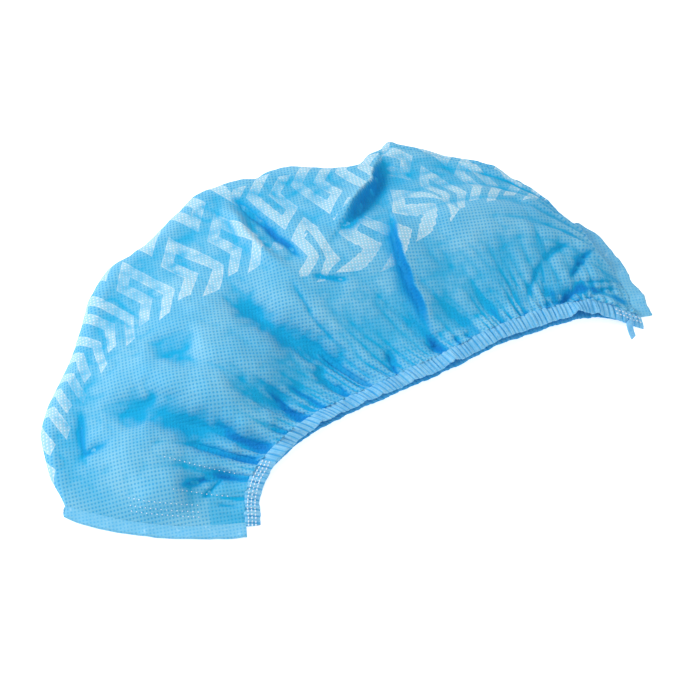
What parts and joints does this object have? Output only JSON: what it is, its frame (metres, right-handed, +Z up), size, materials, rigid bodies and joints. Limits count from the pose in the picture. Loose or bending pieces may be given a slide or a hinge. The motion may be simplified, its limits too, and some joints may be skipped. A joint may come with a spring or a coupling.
{
  "type": "shoe cover",
  "caption": "Disposable nonwoven shoe cover lying on its side, a hollow bag with a gathered elastic foot opening and welded end seams.",
  "frame": {"origin": "middle of the cover's box, on the flat surface that it lies on", "axes": "+X along the foot opening from heel to toe, +Y towards the sole fold, +Z up"},
  "size_m": [0.2638, 0.1494, 0.0335],
  "materials": {
    "nonwoven": "matt point-bonded nonwoven with white printed tread marks",
    "elastic_hem": "matt gathered nonwoven with white stitching at the ends",
    "welded_seam": "matt flattened nonwoven with weld dots"
  },
  "bodies": {
    "root": {"cover": "nonwoven", "opening_hem": "elastic_hem", "heel_seam": "welded_seam", "toe_seam": "welded_seam", "elastic_tab": "elastic_hem"}
  },
  "joints": []
}
